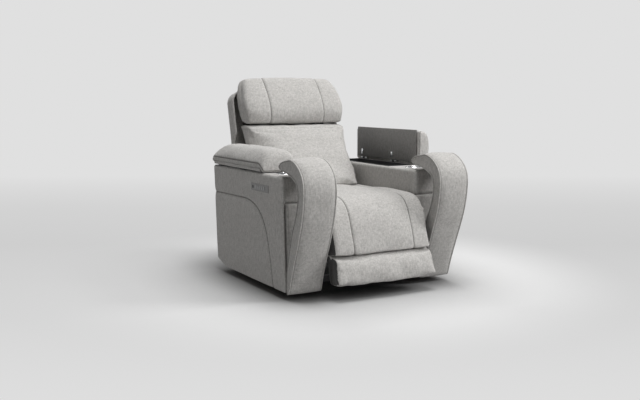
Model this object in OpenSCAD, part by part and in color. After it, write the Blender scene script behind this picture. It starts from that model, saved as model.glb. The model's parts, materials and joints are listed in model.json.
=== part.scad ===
// Power recliner chair with lidded storage arms, a hooked front band on each arm and a chaise leg rest.
// The chair faces -Y, +Z is up, the floor is at z = 0 and the plane between the arms is x = 0.

/* [Overall] */
// Width over both arms
overall_w = 960; // [930:5:1010]
// Clear width between the arms
between_arms = 568; // [560:2:580]
// Height of the feet, which is also the clearance under the arms
foot_h = 38; // [25:1:60]

/* [Arms] */
// Height of the arm's flat top
arm_top_z = 590; // [585:1:600]
// Front of the arm at its top, in front of the x axis
arm_front = 467; // [460:1:475]
// Slope of the arm's front, as the run over its whole height
arm_front_run = 29; // [20:1:34]
// Rear of the arm at its top, behind the x axis
arm_rear = 383; // [375:1:390]
// Slope of the arm's rear, as the run over its whole height
arm_rear_run = 40; // [20:1:60]
// Thickness of the padded covers
cover_t = 10; // [6:1:14]
// Thickness of the arm frame's boards
board_t = 15; // [12:1:18]
// Rise of the arm's bottom edge at its swept-up rear corner
heel_rise = 42; // [20:1:60]
// Height of the straight seam on the arm's outer side
side_seam_z = 444; // [430:1:455]
// Depth by which the lower side panel lies inside the upper one
side_inset = 3; // [1:0.5:5]
// Height of the seam across the arm's front
front_seam_z = 462; // [450:1:470]
// Distance by which the lower front panel stands proud of the upper one
front_proud = 9; // [4:1:12]

/* [Front bands] */
// Width of the hooked band
band_w = 180; // [160:2:182]
// Radius of the band's welted edges
band_edge_r = 13; // [8:1:15]
// Height of the hook's crest
band_top_z = 677; // [670:1:690]

/* [Storage arms] */
// Front end of the storage compartment
bin_front = 196; // [180:1:210]
// Rear end of the storage compartment
bin_rear = 340; // [300:1:345]
// Width of the tray's rim round the compartment
rim_w = 6; // [3:0.5:8]
// Depth of the storage compartment
bin_depth = 150; // [80:1:200]
// Wall of the storage tray
tray_t = 3; // [2:0.5:4]
// Thickness of the tray's rim
rim_t = 3; // [2:0.5:4]
// Distance of the cup holder in front of the x axis
cup_y = 325; // [318:1:332]
// Inner diameter of the cup holder
cup_d = 84; // [76:1:86]
// Outer diameter of the cup holder's ring
cup_ring_d = 97; // [94:1:104]
// Depth of the cup holder
cup_depth = 72; // [50:1:90]

/* [Lids] */
// Distance of the lid's front end in front of the x axis
lid_front = 232; // [228:1:236]
// Length of the lid's board
lid_len = 600; // [590:1:606]
// Width of the lid's board
lid_w = 178; // [170:1:180]
// Thickness of the lid's board
lid_t = 11; // [8:1:12]
// Distance of the lid's hinge inside the arm's outer face
hinge_in = 10; // [9:1:14]
// Radius of the lid's hinge knuckles
knuckle_r = 6; // [5:0.5:6.5]
// Height of the arm pad's crown over its board
pad_h = 100; // [80:1:105]
// Angle to which a lid opens
lid_travel = 90; // [60:1:90]

/* [Controls] */
// Distance of the control plate's centre in front of x axis
plate_y = 224; // [215:1:235]
// Height of the control plate's centre
plate_z = 517; // [505:1:530]
// Length of the control plate
plate_len = 196; // [180:1:210]
// Height of the control plate
plate_h = 37; // [33:1:42]
// Number of control buttons
button_n = 5; // [5:1:5]
// Distance between neighbouring buttons
button_pitch = 22; // [20:0.5:24]
// Width and height of a button
button_size = [16, 18];
// Travel of a button
button_travel = 1.2; // [0.6:0.1:1.6]

/* [Seat] */
// Clearance between the seat's soft parts and each arm
side_gap = 4; // [2:0.5:8]
// Height of the deck that carries the seat cushion
deck_z = 396; // [392:1:400]
// Height of the seat cushion's top above its deck
seat_cushion_h = 94; // [80:1:98]
// Rear end of the seat cushion
seat_rear = 118; // [100:1:130]
// Distance of the sewn seams from the middle
seam_x = 175; // [160:1:190]
// Depth of the sewn seams
seam_d = 9; // [4:1:12]
// Thickness of the seat frame's boards
seat_board_t = 20; // [16:1:22]
// Front end of the seat frame
seat_front = 488; // [480:1:490]
// Number of webbing straps under the seat
seat_strap_n = 5; // [3:1:6]

/* [Mechanism] */
// Thickness of the side plates and links
plate_t = 4; // [3:0.5:5]
// Running gap between neighbouring layers of the mechanism
layer_gap = 1; // [0.6:0.1:1.5]
// Half width of a link
link_r = 12; // [10:0.5:13]
// Radius of the linkage rivets
rivet_r = 5; // [4:0.5:6]
// Radial clearance of the linkage rivets
rivet_play = 0.05; // [0.03:0.01:0.1]
// Radial clearance at the far end of each carrying link
open_play = 0.3; // [0.2:0.1:0.5]
// Radius of the torque tube and of the recline tube
tube_r = 12.5; // [10:0.5:14]
// Turn of the leg rest
flap_travel = 75; // [40:1:75]
// Turn of the back
recline_travel = 35; // [20:1:36]
// Turn of the headrest
head_travel = 28; // [10:1:28]

/* [Back] */
// Lean of the back when upright
back_lean = 13.8; // [12:0.2:15]
// Height of the outer back's top edge along the back, from the recline pivot
shell_top = 690; // [680:1:700]
// Half width of the outer back's wings
wing_half_w = 330; // [322:1:334]
// Depth from the recline pivot to the outer back's rear face
shell_rear = 121; // [118:1:126]
// Thickness of the outer back's padded wall
shell_t = 14; // [10:1:18]
// Thickness of the back frame's posts
post_t = 22; // [18:1:26]
// Number of webbing straps in the back
back_strap_n = 5; // [3:1:6]

/* [Leg rest] */
// Height of the upper leg pad's top edge
flap_top_z = 384; // [380:1:384.5]
// Height of the seam between the leg pads
leg_seam_z = 212; // [200:1:225]
// Height of the lower leg pad's bottom edge
leg_bottom_z = 76; // [66:1:90]
// Thickness of the leg rest's board
leg_board_t = 12; // [9:1:14]

/* [Hidden] */
$fn = 48;

fabric = [0.66, 0.64, 0.61];
fabric_dark = [0.52, 0.50, 0.48];
steel = [0.33, 0.33, 0.35];
zinc = [0.72, 0.73, 0.75];
wood = [0.72, 0.60, 0.44];
black = [0.10, 0.10, 0.11];

arm_out = overall_w / 2;
arm_in = between_arms / 2;
arm_w = arm_out - arm_in;
arm_mid = (arm_out + arm_in) / 2;
cup_x = arm_mid + 4;
plate_lip = 4;
hinge_base_in = 8;
bin_wall = hinge_in + hinge_base_in + rim_w + 2;
bin_w = arm_w - 2 * bin_wall;
arm_h = arm_top_z - foot_h;
heel_y = rear_at(foot_h);
soft_gap = 0.3;
soft_half_w = arm_in - side_gap;
mate_gap = 0.5;
waist = 0.3;

// Layers of the mechanism, counted inwards from the seat frame's side boards.
plate_x = arm_in - seat_board_t - plate_t;
layer1_x = plate_x - layer_gap - plate_t;
layer2_x = layer1_x - layer_gap - plate_t;
head_t = 3;

// Pivots of the leg rest linkage in (y, z). The flap turns about a line with no pin of its own:
// two equal cranks on the torque tube and on the rear pivot guide it through parallel links.
crank_pivot = [-400, 330];
flap_pivot = [-600, 385];
carry = flap_pivot - crank_pivot;
rear_pivot = crank_pivot - carry * 0.5;
upper_pin = [110, -85];
lower_pin = [88, -205];
recline_pivot = [250, 330];
head_pivot = [310, 828];
yoke_r = 80;
recline_yoke_r = 100;

// Points of a closed smooth curve through p, with n points to each stretch.
function between(a, b, c, d, t) =
    0.5 * (2 * b + (c - a) * t + (2 * a - 5 * b + 4 * c - d) * t * t + (3 * b - a - 3 * c + d) * t * t * t);
function closed_curve(p, n) = let (m = len(p))
    [for (i = [0:m - 1]) for (k = [0:n - 1])
        between(p[(i + m - 1) % m], p[i], p[(i + 1) % m], p[(i + 2) % m], k / n)];

// Point i of an outline that runs anticlockwise, drawn inwards by d times the point's own share.
function drawn_in(p, i, d) = let (
        m = len(p),
        a = p[(i + m - 1) % m],
        b = p[(i + 1) % m],
        t = [b[0] - a[0], b[1] - a[1]] / norm([b[0] - a[0], b[1] - a[1]]))
    [p[i][0] - d * p[i][2] * t[1], p[i][1] + d * p[i][2] * t[0]];

// The outline pressed flat where it would pass the line through a with the unit normal n.
function pressed(p, a, n) = [for (q = p) let (d = max(0, ([q[0], q[1]] - a) * n))
    [q[0] - d * n[0], q[1] - d * n[1], max(0, q[2]), q[3]]];

// Places across a cushion of half width hw: the middle, the sewn seam and the round edge of radius r.
function half_places(hw, r, s) =
    concat([0, s / 2, s - 22, s, s + 22], [for (a = [0, 35, 65, 90]) hw - r + r * sin(a)]);
function plain_places(hw, r) = concat([0, (hw - r) / 2], [for (a = [0, 35, 65, 90]) hw - r + r * sin(a)]);
function both_sides(h) = concat([for (i = [len(h) - 1:-1:1]) -h[i]], h);

// How far a cushion is drawn in at the place x: its crown, its seam and its round edge.
function draw(x, hw, r, s, crown, depth) = let (e = max(0, abs(x) - hw + r) / r)
    crown * pow(x / hw, 2) + r * (1 - sqrt(max(0, 1 - e * e))) + (abs(abs(x) - s) < 1 ? depth : 0);

function middle(ring) = [for (k = [0:2]) [for (q = ring) q[k]] * [for (q = ring) 1] / len(ring)];

// Kinds of a loft's end: a fan about its middle, or a ladder of rungs from its first and last points on.
FAN = 0;
LADDER = 1;

// Solid through rings of equally many points, which run anticlockwise seen from the last ring.
module loft(rings, cap) {
    m = len(rings[0]);
    n = len(rings);
    z = (n - 1) * m;
    points = concat([for (r = rings) for (q = r) q],
        cap == FAN ? [middle(rings[0]), middle(rings[n - 1])] : []);
    sides = [for (i = [0:n - 2]) for (j = [0:m - 1])
        [i * m + m + j, i * m + m + (j + 1) % m, i * m + (j + 1) % m, i * m + j]];
    rungs = [0:m / 2 - 2];
    first = cap == FAN ? [for (j = [0:m - 1]) [j, (j + 1) % m, n * m]]
        : concat([for (j = rungs) [j, j + 1, m - 1 - j]], [for (j = rungs) [j + 1, m - 2 - j, m - 1 - j]]);
    last = cap == FAN ? [for (j = [0:m - 1]) [z + (j + 1) % m, z + j, n * m + 1]]
        : concat([for (j = rungs) [z + j + 1, z + j, z + m - 1 - j]],
            [for (j = rungs) [z + m - 2 - j, z + j + 1, z + m - 1 - j]]);
    polyhedron(points, concat(sides, first, last), convexity = 6);
}

// Cushion whose outline (y, z, share of the draw, share of the width) lies across X.
module cross_cushion(outline, places, hw, r, s, crown, depth, cap = FAN) {
    loft([for (x = places) [for (i = [0:len(outline) - 1])
        let (q = drawn_in(outline, i, draw(x, hw, r, s, crown, depth)))
        [x * outline[i][3], q[0], q[1]]]], cap);
}

// Straight bar in the (y, z) plane between two pivots, with round ends a little wider than its waist.
module bar(p, q, r) {
    d = q - p;
    w = r - waist;
    translate(p) circle(r);
    translate(q) circle(r);
    translate(p) rotate(atan2(d[1], d[0])) translate([0, -w]) square([norm(d), 2 * w]);
}

// Plate of a side outline, from x0 to x0 + t.
module side_plate(x0, t) {
    translate([x0, 0, 0]) rotate([90, 0, 90]) linear_extrude(t) children();
}

// Round bar along X through the point p of the (y, z) plane.
module cross_bar(p, x0, x1, r) {
    translate([x0, p[0], p[1]]) rotate([0, 90, 0]) cylinder(r = r, h = x1 - x0);
}

module box(lo, hi) {
    translate(lo) cube(hi - lo);
}

module both() {
    children();
    mirror([1, 0, 0]) children();
}

function turned(v, a) = [v[0] * cos(a) - v[1] * sin(a), v[0] * sin(a) + v[1] * cos(a)];

// Base

rail_len = [-400, 370];
rail_h = 62;
rail_foot_w = 40;
foot_x = arm_in - 39;
foot_y = 340;
foot_bore_r = 4;
tube = 30;
motor_tube = [150, 250];

module base_rails() {
    color(steel) both() difference() {
        union() {
            box([plate_x + plate_t, rail_len[0], foot_h],
                [plate_x + 2 * plate_t, rail_len[1], foot_h + rail_h]);
            box([plate_x + plate_t - rail_foot_w, rail_len[0], foot_h],
                [plate_x + 2 * plate_t, rail_len[1], foot_h + plate_t]);
        }
        for (y = [-foot_y, foot_y])
            translate([foot_x, y, foot_h - 1]) cylinder(r = foot_bore_r, h = plate_t + 2);
    }
}

module square_tube(y, z) {
    difference() {
        box([-plate_x, y, z], [plate_x, y + tube, z + tube]);
        box([-plate_x - 1, y + 2, z + 2], [plate_x + 1, y + tube - 2, z + tube - 2]);
    }
}

module cross_tubes() {
    color(steel) {
        square_tube(-390, foot_h + plate_t);
        square_tube(270, foot_h + plate_t);
        square_tube(motor_tube[0], motor_tube[1]);
    }
}

module feet() {
    color(black) both() for (y = [-foot_y, foot_y]) translate([foot_x, y, 0]) difference() {
        union() {
            cylinder(r1 = 19, r2 = 20, h = 8);
            translate([0, 0, 8]) cylinder(r = 24, h = foot_h - 8);
        }
        translate([0, 0, -1]) cylinder(r = foot_bore_r, h = foot_h + 2);
    }
}

module mechanism_plates() {
    z0 = foot_h + 12;
    color(zinc) both() difference() {
        side_plate(plate_x, plate_t) difference() {
            polygon([[-430, z0], [236, z0], [238, 250], [276, 312], [280, 340], [268, 356], [225, 356],
                [140, 318], [140, 130], [-222, 130], [-222, 350], [-245, 374], [-415, 374], [-430, 355]]);
            translate([-330, 190]) square([70, 46]);
            translate([166, 160]) square([44, 70]);
        }
        cross_bar(crank_pivot, plate_x - 1, plate_x + plate_t + 1, tube_r + rivet_play);
        cross_bar(rear_pivot, plate_x - 1, plate_x + plate_t + 1, rivet_r + rivet_play);
        cross_bar(recline_pivot, plate_x - 1, plate_x + plate_t + 1, tube_r + rivet_play);
    }
}

frame_rear_y = 225;
strap_w = 50;
strap_t = 2;

module seat_frame() {
    shelf = 8;
    z0 = deck_z - 76;
    side = arm_in - seat_board_t;
    color(wood) {
        both() box([side, -seat_front, z0], [arm_in, frame_rear_y, deck_z]);
        box([-side, -seat_front, z0], [side, seat_board_t - seat_front, deck_z]);
        difference() {
            box([-side, frame_rear_y - seat_board_t, z0], [side, frame_rear_y, deck_z]);
            both() box([plate_x - mate_gap, frame_rear_y - 25, z0 - 1], [side + 1, frame_rear_y + 1, 358]);
        }
        box([-side, -562, deck_z - shelf], [side, -seat_front, deck_z]);
    }
}

module seat_webbing() {
    side = arm_in - seat_board_t;
    front = seat_board_t - seat_front;
    rear = frame_rear_y - seat_board_t;
    color(black) {
        for (i = [1:seat_strap_n])
            translate([-side + 2 * side * i / (seat_strap_n + 1) - strap_w / 2, front, deck_z - strap_t])
                cube([strap_w, rear - front, strap_t]);
        for (y = [-350, -130, 90])
            box([-side, y, deck_z - 2 * strap_t], [side, y + strap_w, deck_z - strap_t]);
    }
}

module seat_cushion() {
    z0 = deck_z + soft_gap;
    top = deck_z + seat_cushion_h;
    outline = closed_curve([[-560, z0, 0.2, 1], [-300, z0, 0, 1], [60, z0, 0, 1],
        [seat_rear, z0 + 14, 0.3, 1],
        [seat_rear, top - 26, 0.4, 1], [50, top - 12, 0.8, 1], [-160, top - 9, 1, 1],
        [-330, top - 2, 1, 1], [-470, top, 1, 1], [-545, top - 24, 1, 1], [-589, top - 66, 1, 1],
        [-590, z0 + 8, 0.6, 1]], 2);
    color(fabric) cross_cushion(pressed(outline, [0, z0], [0, -1]),
        both_sides(half_places(soft_half_w, 26, seam_x)), soft_half_w, 26, seam_x, 8, seam_d);
}

module rivet(p) {
    cross_bar(p, layer2_x - head_t + 1, layer1_x + 1, rivet_r);
    cross_bar(p, layer2_x - head_t, layer2_x - soft_gap, rivet_r + 3);
}

module torque_tube() {
    a = flap_travel / 2;
    pin = crank_pivot + yoke_r * [sin(a), -cos(a)];
    color(steel) {
        difference() {
            cross_bar(crank_pivot, -plate_x - plate_t, plate_x + plate_t, tube_r);
            cross_bar(crank_pivot, -arm_in, arm_in, tube_r - 2);
        }
        difference() {
            side_plate(rod_x - 13, 6) bar(crank_pivot, pin, 14);
            cross_bar(crank_pivot, rod_x - 14, rod_x - 6, tube_r - 1);
        }
        cross_bar(pin, rod_x - 12, rod_x + 7, 6);
    }
}

module drive_links() {
    x = crank_pivot + upper_pin;
    d = crank_pivot + lower_pin;
    color(zinc) both() {
        difference() {
            side_plate(layer1_x, plate_t) {
                bar(crank_pivot, x, link_r);
                bar(x, d, link_r);
                translate(crank_pivot) circle(tube_r + 8);
            }
            cross_bar(crank_pivot, layer1_x - 1, plate_x, tube_r + rivet_play);
        }
        rivet(x);
        rivet(d);
    }
}

module rear_links() {
    c = rear_pivot + upper_pin;
    color(zinc) both() {
        side_plate(layer1_x, plate_t) bar(rear_pivot, c, link_r);
        cross_bar(rear_pivot, layer1_x + plate_t - 1, plate_x + plate_t, rivet_r);
        rivet(c);
    }
}

// Carrying link with its bores: one that lies on the rivets of the cranks, one open at the flap.
module carrying_link(start, end, bores) {
    difference() {
        side_plate(layer2_x, plate_t) bar(start, end, link_r);
        for (p = bores) cross_bar(p, layer2_x - 1, layer2_x + plate_t + 1, rivet_r + rivet_play);
        cross_bar(end, layer2_x - 1, layer2_x + plate_t + 1, rivet_r + open_play);
    }
}

module upper_links() {
    c = rear_pivot + upper_pin;
    x = crank_pivot + upper_pin;
    color(zinc) both() carrying_link(c, flap_pivot + upper_pin, [c, x]);
}

module lower_links() {
    d = crank_pivot + lower_pin;
    color(zinc) both() carrying_link(d, flap_pivot + lower_pin, [d]);
}

// Leg rest

// Rear face of the leg pads, as y at the height z.
leg_slope = 60 / 294;
function leg_back(z) = -512 - leg_slope * (flap_top_z - z);
function pressed_leg(p) =
    pressed(p, [leg_back(0) - soft_gap, 0], [1, -leg_slope] / norm([1, leg_slope]));

module leg_brackets() {
    e = flap_pivot + upper_pin;
    f = flap_pivot + lower_pin;
    face = [for (z = [350, 110]) [leg_back(z) + leg_board_t + soft_gap, z]];
    color(zinc) both() {
        side_plate(layer1_x, plate_t) {
            bar(e, f, link_r);
            polygon([face[0], e + [link_r, 0], f + [link_r, 0], face[1]]);
        }
        side_plate(layer1_x - 28, 28 + plate_t)
            polygon([face[0], face[1], face[1] + [3, 0], face[0] + [3, 0]]);
        rivet(e);
        rivet(f);
    }
}

module leg_board() {
    w = soft_half_w - 16;
    color(wood) side_plate(-w, 2 * w) polygon([[leg_back(370), 370], [leg_back(90), 90],
        [leg_back(90) + leg_board_t, 90], [leg_back(370) + leg_board_t, 370]]);
}

module upper_leg_pad() {
    outline = closed_curve([[leg_back(leg_seam_z + 2) - soft_gap, leg_seam_z + 2, 0, 1],
        [leg_back(330) - soft_gap, 330, 0, 1], [leg_back(flap_top_z) - soft_gap, flap_top_z - 3, 0.2, 1],
        [-556, flap_top_z, 0.2, 1], [-594, flap_top_z - 3, 0.4, 1], [-606, flap_top_z - 30, 1, 1],
        [-627, 300, 1, 1], [-638, 250, 1, 1], [-634, leg_seam_z + 6, 1, 1],
        [-606, leg_seam_z + 2, 0.4, 1]], 2);
    color(fabric) cross_cushion(pressed(pressed_leg(outline), [0, leg_seam_z + 1], [0, -1]),
        both_sides(half_places(soft_half_w, 26, seam_x)), soft_half_w, 26, seam_x, 6, seam_d);
}

module lower_leg_pad() {
    outline = closed_curve([[leg_back(leg_bottom_z + 8) - soft_gap, leg_bottom_z + 2, 0, 1],
        [leg_back(140) - soft_gap, 140, 0, 1], [leg_back(leg_seam_z - 2) - soft_gap, leg_seam_z - 4, 0, 1],
        [-600, leg_seam_z - 1, 0.4, 1], [-632, leg_seam_z - 4, 0.8, 1], [-656, leg_seam_z - 26, 1, 1],
        [-673, 140, 1, 1], [-680, 100, 1, 1], [-668, leg_bottom_z + 2, 0.8, 1],
        [-630, leg_bottom_z, 0.2, 1]], 2);
    color(fabric) cross_cushion(pressed(pressed_leg(outline), [0, leg_seam_z], [0, 1]),
        both_sides(plain_places(soft_half_w, 24)), soft_half_w, 24, -1000, 8, 0);
}

// Arms, drawn for the sitter's left and mirrored for the sitter's right

function front_at(z) = -arm_front - arm_front_run * (arm_top_z - z) / arm_h;
function rear_at(z) = arm_rear - arm_rear_run * (arm_top_z - z) / arm_h;
function arm_outline(g, h) = [[front_at(foot_h) + g, foot_h], [rear_at(foot_h) - g, foot_h],
    [rear_at(arm_top_z) - g, arm_top_z - h], [front_at(arm_top_z) + g, arm_top_z - h]];

// Inside of the cover: the frame's own outline, run on below the arm's foot.
function on_line(a, b, z) = [a[0] + (b[0] - a[0]) * (z - a[1]) / (b[1] - a[1]), z];
function cover_inside() = let (p = arm_outline(cover_t, cover_t))
    [on_line(p[3], p[0], foot_h - 1), on_line(p[2], p[1], foot_h - 1), p[2], p[3]];

// What is cut away under the arm's swept-up rear corner, g above its line.
module heel_cut(x0, x1, g) {
    side_plate(x0, x1 - x0) polygon(concat([[410, foot_h - 2], [heel_y - 180, foot_h - 2]],
        [for (k = [0:6]) [heel_y - 180 + 32 * k, foot_h + g + heel_rise * pow(k / 6, 2)]],
        [[410, foot_h + 60]]));
}

// Outline of the lower side panel, drawn in by g all round.
function panel_outline(g) = concat([[-354 + g, foot_h + g], [rear_at(foot_h) - 37 - g, foot_h + g],
    [rear_at(side_seam_z) - 37 - g, side_seam_z - g]],
    [for (a = [90:10:180]) [-50 + (270 - g) * cos(a), side_seam_z - 254 + (254 - g) * sin(a)]]);

module at_side(s) {
    if (s < 0) mirror([1, 0, 0]) children();
    else children();
}

module bin_hole(g) {
    box([arm_mid - bin_w / 2 - g, -bin_front - g, arm_top_z - bin_depth - g],
        [arm_mid + bin_w / 2 + g, bin_rear + g, arm_top_z + 20]);
}

module cup_hole(r, z) {
    translate([cup_x, -cup_y, z]) cylinder(r = r, h = arm_top_z + 20 - z);
}

module arm_frame(s) {
    x0 = arm_in + cover_t;
    x1 = arm_out - cover_t;
    color(wood) at_side(s) difference() {
        side_plate(x0, x1 - x0) polygon(arm_outline(cover_t, cover_t));
        difference() {
            side_plate(x0 + board_t, x1 - x0 - 2 * board_t)
                polygon(concat([[front_at(foot_h) + cover_t + board_t, foot_h - 1],
                    [rear_at(foot_h) - cover_t - board_t, foot_h - 1]],
                    [for (i = [2, 3]) arm_outline(cover_t + board_t, cover_t + board_t)[i]]));
            box([x0, -270, foot_h], [x1, -270 + board_t, arm_top_z]);
        }
        bin_hole(mate_gap);
        cup_hole(cup_d / 2 + tray_t + mate_gap, arm_top_z - 60);
        heel_cut(x0 - 1, x1 + 1, 2);
    }
}

module arm_cover(s) {
    color(fabric) at_side(s) difference() {
        side_plate(arm_in, arm_w) polygon(arm_outline(0, 0));
        side_plate(arm_in + cover_t, arm_w - 2 * cover_t) polygon(cover_inside());
        side_plate(arm_out - cover_t, cover_t + 1) polygon(panel_outline(0));
        heel_cut(arm_in - 1, arm_out + 1, 0);
        bin_hole(mate_gap);
        cup_hole(cup_d / 2 + tray_t + mate_gap, arm_top_z - 60);
        if (s < 0) box([arm_out - 8, plate_lip - plate_y - plate_len / 2, plate_z - plate_h / 2 + plate_lip],
            [arm_out + 1, plate_len / 2 - plate_y - plate_lip, plate_z + plate_h / 2 - plate_lip]);
    }
}

module side_panel(s) {
    color(fabric) at_side(s) difference() {
        side_plate(arm_out - cover_t, cover_t - side_inset) polygon(panel_outline(1));
        heel_cut(arm_out - cover_t - 1, arm_out + 1, 1);
    }
}

module front_panel(s) {
    low = 130;
    color(fabric) at_side(s) side_plate(arm_in + 3, arm_w - 11) polygon([[front_at(low), low],
        [front_at(front_seam_z), front_seam_z], [front_at(front_seam_z) - front_proud, front_seam_z - 3],
        [front_at(low) - 3, low]]);
}

// Side outline of the hooked band: up the face towards the arm, over the nose and down the front.
module front_band(s) {
    t = band_top_z;
    b = foot_h;
    y0 = front_at(b) - soft_gap;
    outline = closed_curve([[y0 - 2, b + 1, 0, 1], [y0 + 1, b + 70, 0.2, 1], [-506, 180, 0.6, 1],
        [-521, 245, 1, 1], [-550, 335, 1, 1], [-585, 412, 1, 1], [-605, 475, 1, 1], [-608, 525, 1, 1],
        [-596, 565, 1, 1], [-562, t - 90, 1, 1], [-505, t - 70, 0.9, 1], [-445, t - 60, 0.5, 1],
        [-420, t - 40, 0.3, 1], [-450, t - 17, 0.5, 1], [-500, t - 5, 0.9, 1], [-546, t, 1, 1],
        [-602, t - 22, 1, 1], [-648, t - 66, 1, 1], [-667, 556, 1, 1], [-664, 480, 1, 1],
        [-646, 390, 1, 1], [-615, 300, 1, 1],
        [-578, 205, 1, 1], [-543, 110, 1, 1], [y0 - 24, b + 1, 0.3, 1]], 2);
    color(fabric) at_side(s) translate([cup_x, 0, 0])
        cross_cushion(outline, both_sides(plain_places(band_w / 2, band_edge_r)), band_w / 2, band_edge_r,
            -1000, 4, 0, LADDER);
}

module storage_tray(s) {
    x0 = arm_mid - bin_w / 2;
    x1 = arm_mid + bin_w / 2;
    z0 = arm_top_z - bin_depth;
    color(black) at_side(s) difference() {
        union() {
            box([x0, -bin_front, z0], [x1, bin_rear, arm_top_z + rim_t]);
            box([x0 - rim_w, -bin_front - rim_w, arm_top_z],
                [x1 + rim_w, bin_rear + rim_w, arm_top_z + rim_t]);
        }
        box([x0 + tray_t, tray_t - bin_front, z0 + tray_t], [x1 - tray_t, bin_rear - tray_t, arm_top_z + 20]);
    }
}

module cup_holders() {
    r = cup_d / 2;
    ring = cup_ring_d / 2;
    color(zinc) both() translate([cup_x, -cup_y, arm_top_z]) rotate_extrude() polygon([[0, -cup_depth],
        [r + tray_t, -cup_depth], [r + tray_t, 0], [ring, 0], [ring, rim_t / 2], [ring - rim_t / 2, rim_t],
        [r + 1, rim_t], [r, rim_t - 1], [r, tray_t - cup_depth], [0, tray_t - cup_depth]]);
}

// Lids

hinge_x = arm_out - hinge_in;
lid_z = arm_top_z + rim_t + soft_gap;
hinge_z = lid_z + lid_t + 2 - knuckle_r;
hinge_ys = [-10, 300];

module lid_turn(s) {
    if (s < 0) mirror([1, 0, 0]) children();
    else translate([hinge_x, 0, hinge_z]) rotate([0, lid_travel, 0]) translate([-hinge_x, 0, -hinge_z])
        children();
}

module along_y(x, y, z, r, h) {
    translate([x, y, z]) rotate([-90, 0, 0]) cylinder(r = r, h = h);
}

module hinge_bases() {
    color(black) both() for (y = hinge_ys) difference() {
        union() {
            box([hinge_x - hinge_base_in, y - 30, arm_top_z], [arm_out - 1, y + 30, arm_top_z + 2]);
            box([hinge_x - 3, y - 11.5, arm_top_z + 1], [hinge_x + 3, y + 11.5, hinge_z - 3]);
            along_y(hinge_x, y - 11.5, hinge_z, knuckle_r, 23);
        }
        along_y(hinge_x, y - 13, hinge_z, 3 + rivet_play, 26);
    }
}

module lid_hinges(s) {
    color(zinc) lid_turn(s) for (y = hinge_ys) {
        box([hinge_x - 32, y - 30, lid_z + lid_t],
            [hinge_x - knuckle_r - mate_gap, y + 30, lid_z + lid_t + 2]);
        for (k = [-30, 12]) {
            along_y(hinge_x, y + k, hinge_z, knuckle_r, 18);
            box([hinge_x - knuckle_r - 1, y + k, lid_z + lid_t], [hinge_x, y + k + 18, lid_z + lid_t + 2]);
        }
        along_y(hinge_x, y - 30, hinge_z, 3, 60);
    }
}

module lid_board(s) {
    x1 = hinge_x - knuckle_r - mate_gap;
    color(fabric_dark) lid_turn(s)
        box([x1 - lid_w, -lid_front, lid_z], [x1, lid_len - lid_front, lid_z + lid_t]);
}

module arm_pad(s) {
    z0 = lid_z + lid_t + 2 + soft_gap;
    y0 = -lid_front - 28;
    y1 = lid_len - lid_front + 34;
    outline = closed_curve([[0, arm_in + 10, 0, 0], [34, arm_in + 4, 1, 0], [72, arm_in + 11, 1, 0],
        [pad_h - 6, arm_in + 48, 1, 0], [pad_h, arm_mid, 1, 0], [pad_h - 4, arm_mid + 56, 1, 0],
        [76, arm_out - 2, 1, 0], [38, arm_out + 5, 1, 0], [17, arm_out + 2, 0.6, 0], [2, arm_out - 6, 0, 0],
        [0, arm_out - 30, 0, 0], [0, arm_mid, 0, 0]], 2);
    front = [[0, 0.48, 22], [6, 0.6, 9], [20, 0.74, 3], [48, 0.87, 0], [90, 0.96, 0], [150, 1, 0]];
    rear = [[0, 0.51, 22], [4, 0.59, 9], [14, 0.69, 3], [35, 0.83, 0], [66, 0.94, 0], [105, 1, 0]];
    rings = concat([for (e = front) [y0 + e[0], e[1], e[2]]], [[(y0 + y1) / 2, 1, 0]],
        [for (i = [5:-1:0]) [y1 - rear[i][0], rear[i][1], rear[i][2]]]);
    color(fabric) lid_turn(s) loft([for (g = rings) [for (i = [0:len(outline) - 1])
        let (q = drawn_in(outline, i, g[2])) [q[1], g[0], z0 + q[0] * g[1]]]], FAN);
}

// Controls on the sitter's right arm

button_y = -plate_y - 6;
usb_y = [70 - plate_y, 86 - plate_y];
usb_half_h = 7;

module control_plate() {
    color(fabric_dark) difference() {
        box([-arm_out - 3, -plate_y - plate_len / 2, plate_z - plate_h / 2],
            [-arm_out, -plate_y + plate_len / 2, plate_z + plate_h / 2]);
        for (i = [0:button_n - 1]) button_block(i, 0.4, 4);
        box([-arm_out - 4, usb_y[0], plate_z - usb_half_h], [-arm_out + 1, usb_y[1], plate_z + usb_half_h]);
    }
}

module button_block(i, g, out) {
    y = button_y + (i - (button_n - 1) / 2) * button_pitch;
    box([-arm_out - out, y - button_size[0] / 2 - g, plate_z - button_size[1] / 2 - g],
        [-arm_out + 5 + g, y + button_size[0] / 2 + g, plate_z + button_size[1] / 2 + g]);
}

module button(i) {
    color(zinc) button_block(i, 0, 4.6);
}

module usb_port() {
    color(black) difference() {
        box([-arm_out - 3.6, usb_y[0] + soft_gap, plate_z - usb_half_h + soft_gap],
            [-arm_out + 5, usb_y[1] - soft_gap, plate_z + usb_half_h - soft_gap]);
        for (z = [-3.4, 3.4]) box([-arm_out - 4, usb_y[0] + 2.5, plate_z + z - 1.4],
            [-arm_out + 3, usb_y[1] - 2.5, plate_z + z + 1.4]);
    }
}

// Back, drawn along its own lean from the recline pivot

module leaning() {
    translate([0, recline_pivot[0], recline_pivot[1]]) rotate([-back_lean, 0, 0]) children();
}

frame_front = 60;
frame_rear = shell_rear - shell_t - 1;

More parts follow.
